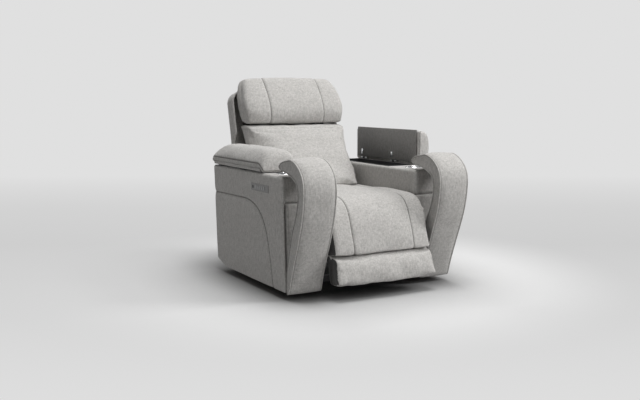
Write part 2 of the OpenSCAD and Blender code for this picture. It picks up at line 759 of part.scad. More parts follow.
module recline_brackets() {
    a = recline_travel / 2;
    pin = recline_pivot + recline_yoke_r * [sin(a), -cos(a)];
    color(steel) {
        cross_bar(recline_pivot, -plate_x - plate_t, plate_x + plate_t, tube_r);
        side_plate(7 - rod_x, 6) bar(recline_pivot, pin, 14);
        cross_bar(pin, -rod_x - 7, 12 - rod_x, 6);
        both() {
            leaning() side_plate(layer1_x, plate_t) polygon([[-17, -15], [17, -17], [frame_rear, 90],
                [frame_rear, 230], [frame_front, 230], [frame_front, 138], [28, 100], [-15, 20]]);
        }
    }
}

module back_frame() {
    color(wood) leaning() {
        both() box([layer1_x - post_t, frame_front, 80], [layer1_x, frame_rear, 660]);
        for (z = [82, 300, 622]) box([post_t - layer1_x, frame_front + 4, z],
            [layer1_x - post_t, frame_front + 22, z + 38]);
    }
}

module back_webbing() {
    color(black) leaning() for (i = [1:back_strap_n])
        translate([-layer1_x, frame_front - strap_t, 82 + 420 * i / (back_strap_n + 1)])
            cube([2 * layer1_x, strap_t, 44]);
}

// Outline of the outer back in (x, along the back), drawn in by g.
function shell_outline(g) = let (r = 60 - g, w = wing_half_w - g, n = soft_half_w - g, t = shell_top - g)
    concat([[n, -60 + g], [n, 335 + g], [w, 385 + g]],
    [for (a = [0:15:90]) [w - r + r * cos(a), t - r + r * sin(a)]],
    [for (a = [90:15:180]) [-w + r + r * cos(a), t - r + r * sin(a)]],
    [[-w, 385 + g], [-n, 335 + g], [-n, -60 + g]]);

wing_front = 28;
wing_foot = 443;
wall_front = 70;

module back_shell() {
    color(fabric) leaning() intersection() {
        difference() {
            translate([0, shell_rear, 0]) rotate([90, 0, 0]) linear_extrude(shell_rear - 26)
                polygon(shell_outline(0));
            translate([0, shell_rear - shell_t, 0]) rotate([90, 0, 0]) linear_extrude(shell_rear)
                polygon(shell_outline(shell_t));
        }
        side_plate(-wing_half_w - 1, 2 * wing_half_w + 2) polygon([[shell_rear + 1, -70],
            [shell_rear + 1, shell_top + 10], [wing_front, shell_top + 10], [wing_front + 2, wing_foot],
            [wall_front, wing_foot - 28], [wall_front, -70]]);
    }
}

module back_cushion() {
    outline = closed_curve([[-46, 486, 0, 0.78], [40, 484, 0, 0.92], [200, 484, 0, 1], [342, 488, 0, 1],
        [366, 570, 0, 1], [390, 670, 0, 1], [416, 768, 0.1, 1], [408, 796, 0.2, 1.02], [320, 797, 0.2, 1.02],
        [252, 794, 0.6, 1.02], [215, 768, 1, 1], [160, 708, 1, 1], [100, 640, 1, 1], [40, 572, 0.75, 0.98],
        [-24, 528, 0.35, 0.87], [-58, 500, 0.12, 0.78]], 2);
    hw = soft_half_w - 5;
    color(fabric) cross_cushion(pressed(outline, lean_point([frame_front - 2 - soft_gap, 0]),
        turned([1, 0], -back_lean)), both_sides(half_places(hw, 62, seam_x - 40)),
        hw, 62, -1000, 14, 0, LADDER);
}

// Headrest

arm_x = 146;
lever_pin = [65.6, 512.4];
head_rod_at = [14, 74];
head_back = 17;
head_board_t = 9.5;

module head_supports() {
    p = [recline_pivot[0] + 92 * cos(back_lean) + 530 * sin(back_lean),
        recline_pivot[1] + 530 * cos(back_lean) - 92 * sin(back_lean)];
    color(zinc) {
        cross_bar(p, post_t - layer1_x, layer1_x - post_t, 8);
        both() difference() {
            side_plate(arm_x, plate_t) bar(p, head_pivot, 10);
            cross_bar(head_pivot, arm_x - 1, arm_x + plate_t + 1, 6 + rivet_play);
        }
    }
}

function lean_point(v) = recline_pivot + turned(v, -back_lean);

module head_brackets() {
    color(zinc) {
        cross_bar(head_pivot, layer_gap - arm_x, arm_x - layer_gap, 9);
        cross_bar(head_pivot, -arm_x - plate_t, arm_x + plate_t, 6);
        side_plate(-3, 6) bar(head_pivot, lean_point(lever_pin), 9);
        cross_bar(lean_point(lever_pin), 2, 18, 5);
        both() side_plate(arm_x - layer_gap - plate_t, plate_t) polygon([head_pivot + [0, -9],
            lean_point([head_back, 562]), lean_point([head_back, 582]), head_pivot + [-6, 8]]);
    }
}

module head_board() {
    color(wood) leaning() box([-250, head_back, 560], [250, head_back + head_board_t, 720]);
}

module headrest_cushion() {
    outline = closed_curve([[270, 826, 0.8, 0.95], [282, 812, 0.3, 0.94], [302, 806, 0, 0.94],
        [345, 808, 0, 0.94], [392, 832, 0, 0.96], [412, 900, 0, 0.98], [428, 960, 0, 0.98],
        [443, 1030, 0.3, 0.97], [436, 1072, 0.6, 0.92],
        [398, 1086, 1, 0.9], [348, 1040, 1, 0.95], [310, 990, 1, 0.98], [276, 930, 1, 0.98],
        [260, 874, 1, 0.96]], 2);
    hw = wing_half_w - 4;
    color(fabric) difference() {
        cross_cushion(pressed(outline, lean_point([head_back - soft_gap, 0]), turned([1, 0], -back_lean)),
            both_sides(half_places(hw, 30, seam_x - 4)), hw, 30, seam_x - 4, 6, 8);
        both() box([arm_x - 8, 298, 795], [arm_x + 8, 450, 900]);
        box([-8, 298, 795], [22, 450, 846]);
        cross_bar(head_pivot, -arm_x - 8, arm_x + 8, 12);
    }
}

// Actuators

module actuator(y0, y1, x, z, r) {
    difference() {
        union() {
            along_y(x, y0, z, r, y1 - y0);
            along_y(x, y0, z, r + 4, 12);
        }
        along_y(x, y0 - 1, z, rod_r + mate_gap, y1 - y0 - 9);
    }
}

module yoke(x, y, z, half_h) {
    difference() {
        box([x, y - 20, z - half_h], [x + 8, y + 20, z + half_h]);
        box([x - 1, y - 8, z - half_h + 6], [x + 9, y + 8, z + half_h - 6]);
    }
}

rod_x = 70;
rod_r = 9;
head_rod_r = 6;
inlet = [26, 18];
leg_rod_z = crank_pivot[1] - yoke_r * (1 + cos(flap_travel / 2)) / 2;
leg_pin_y = crank_pivot[0] + yoke_r * sin(flap_travel / 2);
recline_rod_z = recline_pivot[1] - recline_yoke_r * (1 + cos(recline_travel / 2)) / 2;
recline_pin_y = recline_pivot[0] + recline_yoke_r * sin(recline_travel / 2);

module leg_actuator() {
    color(black) {
        actuator(-240, 110, rod_x, leg_rod_z, 16);
        box([rod_x - 30, 60, leg_rod_z - 26], [rod_x + 30, motor_tube[0], leg_rod_z + 26]);
        translate([rod_x, 90, leg_rod_z - 116]) cylinder(r = 24, h = 92);
    }
}

module leg_rod() {
    color(zinc) {
        yoke(rod_x - 4, leg_pin_y, leg_rod_z, 26);
        along_y(rod_x, leg_pin_y + 18, leg_rod_z, rod_r, 226);
    }
}

module recline_actuator() {
    color(black) {
        actuator_back(-60, 192, -rod_x, recline_rod_z, 14);
        box([-rod_x - 26, -90, recline_rod_z - 24], [26 - rod_x, -56, recline_rod_z + 24]);
        translate([-rod_x, -73, recline_rod_z - 100]) cylinder(r = 16, h = 80);
        box([-rod_x - 10, motor_tube[0], recline_rod_z + 12],
            [10 - rod_x, motor_tube[0] + tube, motor_tube[1]]);
    }
}

module actuator_back(y0, y1, x, z, r) {
    difference() {
        along_y(x, y0, z, r, y1 - y0);
        along_y(x, y0 + 8, z, rod_r + mate_gap, y1 - y0);
    }
}

module recline_rod() {
    color(zinc) {
        yoke(-rod_x - 4, recline_pin_y, recline_rod_z, 20);
        along_y(-rod_x, recline_pin_y - 150, recline_rod_z, rod_r, 132);
    }
}

module head_actuator() {
    color(black) leaning() {
        difference() {
            translate(concat(head_rod_at, 368)) cylinder(r = 9, h = 84);
            translate(concat(head_rod_at, 376)) cylinder(r = head_rod_r + mate_gap, h = 84);
        }
        box([-2, frame_front + 4, 338], [30, frame_rear - 2, 370]);
    }
}

module head_rod() {
    color(zinc) leaning() {
        difference() {
            box([8, 31, 501], [14, 84, 523.5]);
            box([7, 36, 505.4], [15, 74, 519.4]);
        }
        translate(concat(head_rod_at, 384)) cylinder(r = head_rod_r, h = 120);
    }
}

module power_supply() {
    z = foot_h + plate_t;
    color(black) difference() {
        union() {
            box([90, 304, z], [200, 350, z + 40]);
            box([90, 300, z + 4], [200, 304.5, z + 36]);
        }
        box([130, 340, z + 8], [130 + inlet[0], 351, z + 8 + inlet[1]]);
    }
}

module frame_bolts() {
    color(zinc) both() for (y = [-350, -100, 200]) {
        cross_bar([y, foot_h + 40], plate_x - 3, plate_x, 6);
    }
}

base_rails();
cross_tubes();
feet();
mechanism_plates();
seat_frame();
seat_webbing();
seat_cushion();
arm_frame(-1);  // right_arm_frame
arm_frame(1);  // left_arm_frame
arm_cover(-1);  // right_arm_cover
arm_cover(1);  // left_arm_cover
side_panel(-1);  // right_side_panel
side_panel(1);  // left_side_panel
front_panel(-1);  // right_front_panel
front_panel(1);  // left_front_panel
front_band(-1);  // right_front_band
front_band(1);  // left_front_band
storage_tray(-1);  // right_storage_tray
storage_tray(1);  // left_storage_tray
cup_holders();
hinge_bases();
lid_hinges(-1);  // right_lid_hinges
lid_hinges(1);  // left_lid_hinges
lid_board(-1);  // right_lid_board
lid_board(1);  // left_lid_board
arm_pad(-1);  // right_arm_pad
arm_pad(1);  // left_arm_pad
control_plate();
usb_port();
button(0);  // recline_button
button(1);  // upright_button
button(2);  // head_forward_button
button(3);  // head_back_button
button(4);  // home_button
torque_tube();
drive_links();
rear_links();
upper_links();
lower_links();
leg_brackets();
leg_board();
upper_leg_pad();
lower_leg_pad();
recline_brackets();
head_supports();
back_frame();
back_webbing();
back_shell();
back_cushion();
head_brackets();
head_board();
headrest_cushion();
leg_actuator();
leg_rod();
recline_actuator();
recline_rod();
head_actuator();
head_rod();
power_supply();
frame_bolts();
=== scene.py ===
"""Power recliner chair: camera, light, upholstery and materials over the CAD frame.

Outlines and their tables are in millimetres in the CAD frame. Meshes, seams and shaders are in metres.
"""
import json
import math
import bpy
import numpy as np
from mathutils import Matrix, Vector


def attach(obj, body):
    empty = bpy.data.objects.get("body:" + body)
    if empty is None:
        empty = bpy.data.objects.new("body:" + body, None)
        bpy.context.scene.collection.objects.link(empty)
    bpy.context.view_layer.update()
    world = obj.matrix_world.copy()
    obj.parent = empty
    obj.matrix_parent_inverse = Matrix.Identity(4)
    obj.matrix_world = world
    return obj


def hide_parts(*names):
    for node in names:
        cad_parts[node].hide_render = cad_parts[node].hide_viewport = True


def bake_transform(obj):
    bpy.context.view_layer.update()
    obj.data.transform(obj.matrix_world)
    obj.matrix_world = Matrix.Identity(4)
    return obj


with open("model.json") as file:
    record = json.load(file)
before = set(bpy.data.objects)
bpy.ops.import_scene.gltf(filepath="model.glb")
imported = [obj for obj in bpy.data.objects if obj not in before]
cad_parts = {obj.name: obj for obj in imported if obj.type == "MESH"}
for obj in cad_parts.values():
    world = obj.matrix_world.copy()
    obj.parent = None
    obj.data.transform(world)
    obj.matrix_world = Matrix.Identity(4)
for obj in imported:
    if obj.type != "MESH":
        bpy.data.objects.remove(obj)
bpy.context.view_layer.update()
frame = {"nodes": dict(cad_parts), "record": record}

scene = bpy.context.scene
MM = 0.001
SIDES = (("right", -1), ("left", 1))

# Camera

CAM_AT, CAM_TO = Vector((-2.2240, -3.9120, 0.9690)), Vector((-0.0106, 0.0, 0.4015))
cam = bpy.data.objects.new("camera", bpy.data.cameras.new("camera"))
scene.collection.objects.link(cam)
cam.location = CAM_AT
cam.rotation_euler = (CAM_TO - CAM_AT).to_track_quat("-Z", "Y").to_euler()
cam.data.lens, cam.data.sensor_width = 46.3, 36.0
cam.data.clip_end = 60
scene.camera = cam
scene.view_settings.view_transform = "Standard"


# Material tools

class Nodes:
    """Short names for building the node tree of a material or of the world."""

    def __init__(self, owner):
        owner.use_nodes = True
        self.owner, self.t = owner, owner.node_tree
        self.bsdf = self.t.nodes.get("Principled BSDF")
        self.coord = self.new("TexCoord").outputs["Object"]

    def new(self, kind, **props):
        n = self.t.nodes.new("ShaderNode" + kind)
        for k, v in props.items():
            setattr(n, k, v)
        return n

    def put(self, socket, value):
        """Links an output to the socket, or sets the socket to a constant."""
        if hasattr(value, "is_output"):
            self.t.links.new(value, socket)
        else:
            socket.default_value = value

    def noise(self, scale=(1, 1, 1), size=100.0, detail=3.0, rough=0.55):
        m = self.new("Mapping")
        self.put(m.inputs["Vector"], self.coord)
        m.inputs["Scale"].default_value = scale
        n = self.new("TexNoise")
        self.put(n.inputs["Vector"], m.outputs["Vector"])
        n.inputs["Scale"].default_value = size
        n.inputs["Detail"].default_value = detail
        n.inputs["Roughness"].default_value = rough
        return n.outputs["Fac"]

    def math(self, op, a, b=0.0, c=0.0):
        n = self.new("Math", operation=op)
        for s, v in zip(n.inputs, (a, b, c)):
            self.put(s, v)
        return n.outputs[0]

    def vector(self, op, a, b=(0, 0, 0)):
        n = self.new("VectorMath", operation=op)
        self.put(n.inputs[0], a)
        self.put(n.inputs[1], b)
        return n.outputs["Value"]

    def ranged(self, value, start, end, out=(0.0, 1.0), **props):
        """The value's place between start and end, spread over out."""
        n = self.new("MapRange", **props)
        self.put(n.inputs["Value"], value)
        for k, v in zip(("From Min", "From Max", "To Min", "To Max"), (start, end, *out)):
            n.inputs[k].default_value = v
        return n.outputs["Result"]

    def ramp(self, fac, stops):
        n = self.new("ValToRGB")
        self.put(n.inputs["Fac"], fac)
        e = n.color_ramp.elements
        while len(e) < len(stops):
            e.new(0.5)
        for k, (pos, col) in zip(e, stops):
            k.position = pos
            k.color = (*col, 1)
        return n.outputs["Color"]

    def mix(self, fac, a, b):
        n = self.new("Mix", data_type="RGBA")
        self.put(n.inputs["Factor"], fac)
        self.put(n.inputs[6], a if hasattr(a, "is_output") else (*a, 1))
        self.put(n.inputs[7], b if hasattr(b, "is_output") else (*b, 1))
        return n.outputs[2]

    def shown(self):
        """1 for rays that show the surface in the picture or in a reflection, 0 for bounced light."""
        path = self.new("LightPath")
        return self.math("MAXIMUM", path.outputs["Is Camera Ray"], path.outputs["Is Glossy Ray"])

    def bump(self, height, strength, distance):
        n = self.new("Bump")
        self.put(n.inputs["Height"], height)
        n.inputs["Strength"].default_value = strength
        n.inputs["Distance"].default_value = distance
        self.put(self.bsdf.inputs["Normal"], n.outputs["Normal"])

    def set(self, **values):
        for k, v in values.items():
            self.put(self.bsdf.inputs[k.replace("_", " ")], v)


def grey(v, warm=0.0):
    return (v * (1 + warm), v, v * (1 - 1.4 * warm))


# Upholstery cloth: stretch along the axes, size, detail and roughness of each noise

WARP = ((1, 1, 0.06), 1100, 2.0)
WEFT = ((0.06, 0.06, 1), 1100, 2.0)
SLUB_V = ((1, 1, 0.2), 210, 3.0, 0.65)
SLUB_H = ((0.2, 0.2, 1), 300, 3.0, 0.65)
CLOUD = ((1, 1, 0.6), 95, 4.0, 0.7)
# tones where the dark and the light yarn begin
DARK_YARN, LIGHT_YARN = 0.42, 0.58
# a sewn line is darkest up to SEAM_CORE and gone at SEAM_EDGE
SEAM_CORE, SEAM_EDGE, SEAM_SHARE, SEAM_COLOUR = 0.0012, 0.0052, 0.72, (0.07, 0.066, 0.06)


def make_fabric(name, light, dark):
    """Heathered plain weave: thread noise along each direction, slow clouding, darker sewn seams."""
    n = Nodes(bpy.data.materials.new(name))
    warp, weft, slub_v, slub_h, cloud = (n.noise(*k) for k in (WARP, WEFT, SLUB_V, SLUB_H, CLOUD))
    threads = n.math("MULTIPLY_ADD", warp, 0.5, n.math("MULTIPLY", weft, 0.5))
    slubs = n.math("MULTIPLY_ADD", slub_v, 0.6, n.math("MULTIPLY", slub_h, 0.4))
    tone = n.math("MULTIPLY_ADD", slubs, 0.46, n.math("MULTIPLY", cloud, 0.24))
    tone = n.math("MULTIPLY_ADD", threads, 0.30, tone)
    col = n.ramp(tone, [(DARK_YARN, dark), (LIGHT_YARN, light)])
    seam = n.new("Attribute", attribute_name="seam").outputs["Fac"]
    line = n.ranged(seam, SEAM_CORE, SEAM_EDGE, (SEAM_SHARE, 0.0))
    n.put(n.bsdf.inputs["Base Color"], n.mix(line, col, SEAM_COLOUR))
    n.bump(n.math("MULTIPLY_ADD", threads, 0.7, n.math("MULTIPLY", slubs, 0.5)), 0.35, 0.0012)
    n.set(Roughness=0.92, Specular_IOR_Level=0.25, Sheen_Weight=0.22, Sheen_Roughness=0.5)
    return n.owner


fabric = make_fabric("woven_grey", grey(0.545, 0.026), grey(0.335, 0.03))
# half-bright copy of the woven grey: painted shade for the lid boards, whose open underside faces away from
# the light
shaded_fabric = make_fabric("woven_grey_shaded", grey(0.27, 0.026), grey(0.18, 0.03))
# near-black copy of the woven grey: painted shadow for the gaps and for cushion side walls that sit in shade
shadow_fabric = make_fabric("woven_grey_shadow", grey(0.075, 0.02), grey(0.045, 0.02))


# Wood, metal, plastic and webbing

def make_simple(name, base, rough, metal=0.0, grain=(1, 1, 1), size=400.0, spread=0.12, bump=0.1):
    """One colour that varies by spread, with a fine relief along the grain."""
    n = Nodes(bpy.data.materials.new(name))
    g = n.noise(grain, size, 3.0)
    lo = tuple(c * (1 - spread) for c in base)
    hi = tuple(min(1, c * (1 + spread)) for c in base)
    n.put(n.bsdf.inputs["Base Color"], n.ramp(g, [(0.3, lo), (0.7, hi)]))
    r = n.math("MULTIPLY_ADD", n.noise(grain, size * 0.35, 4.0), 0.16, rough - 0.08)
    n.put(n.bsdf.inputs["Roughness"], r)
    n.bump(g, bump, 0.0003)
    n.set(Metallic=metal)
    return n.owner


def make_webbing():
    n = Nodes(bpy.data.materials.new("elastic_webbing"))
    w = n.new("TexWave", wave_type="BANDS", bands_direction="Y")
    n.put(w.inputs["Vector"], n.coord)
    w.inputs["Scale"].default_value = 90
    w.inputs["Distortion"].default_value = 1.0
    f = n.math("MULTIPLY_ADD", w.outputs["Fac"], 0.6, n.math("MULTIPLY", n.noise(size=700), 0.4))
    col = n.ramp(f, [(0.25, (0.015, 0.015, 0.016)), (0.8, (0.07, 0.07, 0.072))])
    n.put(n.bsdf.inputs["Base Color"], col)
    n.bump(f, 0.5, 0.0008)
    n.set(Roughness=0.85)
    return n.owner


LONG_GRAIN, BRUSHED = (1, 1, 0.05), (1, 1, 0.02)
zinc_steel = make_simple("zinc_plate", (0.56, 0.57, 0.58), 0.38, 1.0, size=60, bump=0.05)
BY_SLOT = {
    "upholstery": fabric,
    "plywood": make_simple("birch_ply", (0.62, 0.46, 0.28), 0.55, 0.0, LONG_GRAIN, 160, 0.22, 0.2),
    "black_steel": make_simple("black_powder_coat", (0.03, 0.03, 0.032), 0.42,
                               size=900, spread=0.1, bump=0.15),
    "zinc_steel": zinc_steel,
    "webbing": make_webbing(),
    "black_plastic": make_simple("black_moulded", (0.022, 0.022, 0.024), 0.5,
                                 size=1600, spread=0.15, bump=0.12),
    "grey_plastic": make_simple("grey_moulded", (0.20, 0.198, 0.193), 0.4,
                                size=1500, spread=0.08, bump=0.08),
    "button_metal": make_simple("satin_button", (0.26, 0.26, 0.26), 0.4, 0.5,
                                size=1200, spread=0.06, bump=0.05),
    "stainless": make_simple("brushed_steel", (0.72, 0.72, 0.73), 0.22, 1.0, BRUSHED, 900, 0.08, 0.1)}
# Boards behind cushions get the near-black cloth: painted shadow, so that the gaps read dark and no bare wood
# shows in them.
SHADOW_BOARDS = ("back_frame", "head_board", "leg_board")
for part in frame["record"]["subparts"]:
    ob = frame["nodes"][part["node"]]
    material = shadow_fabric if part["node"] in SHADOW_BOARDS else BY_SLOT[part["material_slot"]]
    for s in ob.material_slots:
        s.material = material
    if not ob.material_slots:
        ob.data.materials.append(material)


# Curves and shares

def catmull(a, b, c, d, t):
    """Catmull-Rom point at t between b and c."""
    return 0.5 * (2 * b + (c - a) * t + (2 * a - 5 * b + 4 * c - d) * t**2 + (3 * b - a - 3 * c + d) * t**3)


def closed_curve(p, n):
    """Points of a closed curve through the rows of p, n to each stretch."""
    p = np.array(p, float)
    a, b, c, d = (np.roll(p, k, 0)[:, None] for k in (1, 0, -1, -2))
    return catmull(a, b, c, d, (np.arange(n) / n)[None, :, None]).reshape(-1, p.shape[1])


def open_curve(p, n):
    """Points of a curve through p, open at its ends, n to each stretch."""
    p = [2 * np.array(p[0], float) - np.array(p[1], float)] + [np.array(q, float) for q in p]
    p.append(2 * p[-1] - p[-2])
    out = [catmull(a, b, c, d, t) for a, b, c, d in zip(p, p[1:], p[2:], p[3:]) for t in np.arange(n) / n]
    return np.array(out + [p[-2]])


def near_line(p, line):
    """Distance of each 2-D point to an open polyline."""
    best = np.full(len(p), 1e9)
    for a, b in zip(line[:-1], line[1:]):
        ab = b - a
        t = np.clip(((p - a) @ ab) / (ab @ ab), 0, 1)
        best = np.minimum(best, np.linalg.norm(p - a - t[:, None] * ab, axis=1))
    return best


def step01(x):
    """Smooth step from 0 to 1 as x goes from 0 to 1."""
    x = np.clip(x, 0, 1)
    return x * x * (3 - 2 * x)


def bells(d, *terms):
    """Sum of bell curves over the distance d, each with its height and width."""
    return sum(height * np.exp(-(d / width) ** 2) for height, width in terms)


# Mesh tools

def drawn_in(ring, d):
    """The (y, z) of an anticlockwise outline, moved inwards by d times each point's own share."""
    t = np.roll(ring[:, :2], -1, 0) - np.roll(ring[:, :2], 1, 0)
    t /= np.linalg.norm(t, axis=1)[:, None] + 1e-9
    k = (d * np.clip(ring[:, 2], 0, None))[:, None]
    return ring[:, :2] + k * np.stack([-t[:, 1], t[:, 0]], 1)


def mesh_object(name, points, faces, material=fabric):
    me = bpy.data.meshes.new(name)
    me.from_pydata((np.asarray(points) * MM).tolist(), [], faces)
    me.validate()
    me.update()
    ob = bpy.data.objects.new(name, me)
    scene.collection.objects.link(ob)
    me.materials.append(material)
    return ob


def loft(name, rings, material=fabric, flat=False):
    """Closed form through rings of (x, y, z); its ends are fans, or single flat faces where flat is true."""
    rings = np.array(rings, float)
    n, m = rings.shape[:2]
    pts = rings.reshape(-1, 3)
    faces = [(i * m + m + j, i * m + m + (j + 1) % m, i * m + (j + 1) % m, i * m + j)
             for i in range(n - 1) for j in range(m)]
    if flat:
        faces += [tuple(range(m)), tuple((n - 1) * m + j for j in range(m - 1, -1, -1))]
    else:
        pts = np.concatenate([pts, rings[0].mean(0)[None], rings[-1].mean(0)[None]])
        faces += [(j, (j + 1) % m, n * m) for j in range(m)]
        faces += [((n - 1) * m + (j + 1) % m, (n - 1) * m + j, n * m + 1) for j in range(m)]
    return mesh_object(name, pts, faces, material)


EDGE_TURNS = (12, 24, 36, 48, 59, 69, 79, 90)


def across(name, outline, hw, r, crown, wide, steps=28):
    """Cushion across X, hw to each side, whose edges fall by r over their width.

    The outline's rows are y, z, draw share and width share.
    """
    flat = np.linspace(-1, 1, steps) * (hw - wide)
    edge = hw - wide + wide * np.sin(np.radians(EDGE_TURNS))
    rings = []
    for x in np.concatenate([-edge[::-1], flat, edge]):
        e = max(0.0, abs(x) - hw + wide) / wide
        q = drawn_in(outline, crown * (x / hw) ** 2 + r * (1 - math.sqrt(max(0.0, 1 - e * e))))
        rings.append(np.stack([x * np.clip(outline[:, 3], 0, None), q[:, 0], q[:, 1]], 1))
    return loft(name, rings)


def read(items, field):
    """The (x, y, z) of every item, one to a row."""
    v = np.empty(len(items) * 3, np.float32)
    items.foreach_get(field, v)
    return v.reshape(-1, 3)


def coords(me):
    return read(me.vertices, "co").astype(float)


def normals(me):
    return read(me.vertex_normals, "vector").astype(float)


def set_coords(me, v):
    me.vertices.foreach_set("co", v.astype(np.float32).ravel())
    me.update()


def apply(ob):
    """Applies the object's modifiers to its mesh."""
    dg = bpy.context.evaluated_depsgraph_get()
    made = bpy.data.meshes.new_from_object(ob.evaluated_get(dg), depsgraph=dg)
    ob.modifiers.clear()
    ob.data = made


def smooth(me, passes):
    """Moves each point half the way to the middle of its neighbours, in every pass."""
    e = np.empty(len(me.edges) * 2, np.int32)
    me.edges.foreach_get("vertices", e)
    e = e.reshape(-1, 2)
    v = coords(me)
    count = np.bincount(e.ravel(), minlength=len(v))[:, None]
    for _ in range(passes):
        s = np.zeros_like(v)
        for k in range(3):
            s[:, k] = (np.bincount(e[:, 0], v[e[:, 1], k], len(v))
                       + np.bincount(e[:, 1], v[e[:, 0], k], len(v)))
        v = v + 0.5 * (s / np.maximum(count, 1) - v)
    set_coords(me, v)


def remesh(ob, voxel):
    m = ob.modifiers.new("voxels", "REMESH")
    m.mode, m.voxel_size, m.use_smooth_shade = "VOXEL", voxel, True
    apply(ob)
    smooth(ob.data, 2)


def subdivide(ob):
    m = ob.modifiers.new("fine", "SUBSURF")
    m.levels = m.render_levels = 1
    apply(ob)


PRESSURE, STIFFNESS, CLOTH_FRAMES = 4.0, 15.0, 20


def puff(ob, voxel, cap, held, inset=0.006):
    """Remeshes the form, draws it in a little and lets Cloth's pressure fill it.

    No point goes further than cap, and held says how firmly each point stays where it is.
    """
    remesh(ob, voxel)
    me = ob.data
    start = coords(me)
    free = 1 - np.clip(held(start), 0, 1)
    set_coords(me, start - normals(me) * inset * free[:, None])
    inner = coords(me)
    group = ob.vertex_groups.new(name="held")
    for i in np.nonzero(free < 0.99)[0]:
        group.add([int(i)], float(1 - free[i]), "REPLACE")
    c = ob.modifiers.new("cloth", "CLOTH")
    s = c.settings
    s.quality, s.mass, s.air_damping = 4, 0.4, 6.0
    s.tension_stiffness = s.compression_stiffness = s.shear_stiffness = STIFFNESS
    s.bending_stiffness = 0.5
    s.use_pressure, s.uniform_pressure_force = True, PRESSURE
    s.effector_weights.gravity = 0.0
    s.vertex_group_mass = "held"
    c.collision_settings.use_collision = False
    c.point_cache.frame_start, c.point_cache.frame_end = 1, CLOTH_FRAMES
    for f in range(1, CLOTH_FRAMES + 1):
        scene.frame_set(f)
    dg = bpy.context.evaluated_depsgraph_get()
    move = read(ob.evaluated_get(dg).data.vertices, "co") - inner
    length = np.linalg.norm(move, axis=1)
    move *= np.where(length > cap, cap / np.maximum(length, 1e-9), 1)[:, None]
    ob.modifiers.remove(c)
    ob.vertex_groups.clear()
    scene.frame_set(1)
    set_coords(me, inner + move)
    smooth(me, 2)


def shade_sides(ob):
    """Gives the faces of the two side walls the near-black cloth, painted shadow for walls that sit in shade.
    """
    me = ob.data
    me.materials.append(shadow_fabric)
    facing, middle = (np.abs(read(me.polygons, k)[:, 0]) for k in ("normal", "center"))
    side = (facing > 0.86) & (middle > 0.268)
    me.polygons.foreach_set("material_index", side.astype(np.int32))


def set_seam(ob, distance):
    """Keeps each point's distance to the nearest sewn seam, in metres, for the material."""
    a = ob.data.attributes.new("seam", "FLOAT", "POINT")
    a.data.foreach_set("value", np.clip(distance, 0, 1).astype(np.float32))


def groove(ob, distance, depth, width, share=1.0):
    """Draws the surface in along its normal near a seam."""
    me = ob.data
    set_coords(me, coords(me) - normals(me) * (bells(distance, (depth, width)) * share)[:, None])


def wrinkle(ob, size, amount, share, seed):
    """Slow unevenness of stuffed fabric, from sums of sines so that it is the same on every run."""
    me = ob.data
    v = coords(me)
    h = np.zeros(len(v))
    rng = np.random.RandomState(seed + 7)
    for k in range(14):
        d = rng.normal(size=3)
        d /= np.linalg.norm(d)
        f = 2 * math.pi / (size * rng.uniform(0.6, 1.7))
        h += np.sin(v @ d * f + rng.uniform(0, 6.28))
    h *= amount / 3.7
    set_coords(me, v + normals(me) * (h * share)[:, None])


def finish_piece(ob, body, nodes):
    ob.data.shade_smooth()
    if "seam" not in ob.data.attributes:
        set_seam(ob, np.ones(len(ob.data.vertices)))
    if body:
        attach(ob, body)
    if nodes:
        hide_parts(*nodes)


# Seat and upper leg rest, one cushion that runs over the front edge

SEAM_HOLD = 0.006
SEAT_SEAM, SEAT_FRONT = 0.175, -0.57
chaise_line = closed_curve([
    (-546, 214, 0, 1), (-530, 300, 0, 1), (-514, 376, 0, 1), (-530, 385, 0, 1), (-560, 386, 0, 1),
    (-567, 391, 0, 1), (-560, 397, 0, 1), (-400, 397, 0, 1), (-100, 397, 0, 1), (60, 397, 0, 1),
    (117, 408, 0.3, 1), (118, 440, 0.4, 1), (112, 466, 0.6, 1), (50, 478, 0.8, 1), (-60, 481, 1, 1),
    (-160, 480, 1, 1), (-240, 485, 1, 1), (-330, 490, 1, 1), (-420, 491, 1, 1), (-480, 486, 1, 1),
    (-530, 466, 1, 1), (-566, 430, 1, 1), (-590, 380, 1, 1), (-608, 330, 1, 1), (-624, 280, 1, 1),
    (-634, 240, 1, 1), (-633, 219, 0.7, 1), (-615, 213.5, 0.3, 1), (-580, 213.5, 0, 1)], 4)
chaise = across("seat_and_leg_cushion", chaise_line, 281.5, 19, 7, 24)


def chaise_held(v):
    seam = bells(np.abs(v[:, 0]) - SEAT_SEAM, (1, SEAM_HOLD))
    under = ((v[:, 2] < 0.405) & (v[:, 1] > SEAT_FRONT)).astype(float)
    return np.maximum(np.maximum(seam, under), (v[:, 2] < 0.222).astype(float))


puff(chaise, 0.007, 0.022, chaise_held)
subdivide(chaise)
v = coords(chaise.data)
shown = step01((v[:, 2] - 0.404) / 0.02) * (v[:, 1] > SEAT_FRONT) + (v[:, 1] <= SEAT_FRONT)
d = np.abs(np.abs(v[:, 0]) - SEAT_SEAM)
groove(chaise, d, 0.0065, 0.007, shown * step01((v[:, 2] - 0.21) / 0.012 + 0.5))
wrinkle(chaise, 0.16, 0.0014, shown, 3)
set_seam(chaise, np.where(shown > 0.5, d, 1))
shade_sides(chaise)
finish_piece(chaise, None, ["seat_cushion", "upper_leg_pad"])
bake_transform(chaise)

# Lower leg rest pad

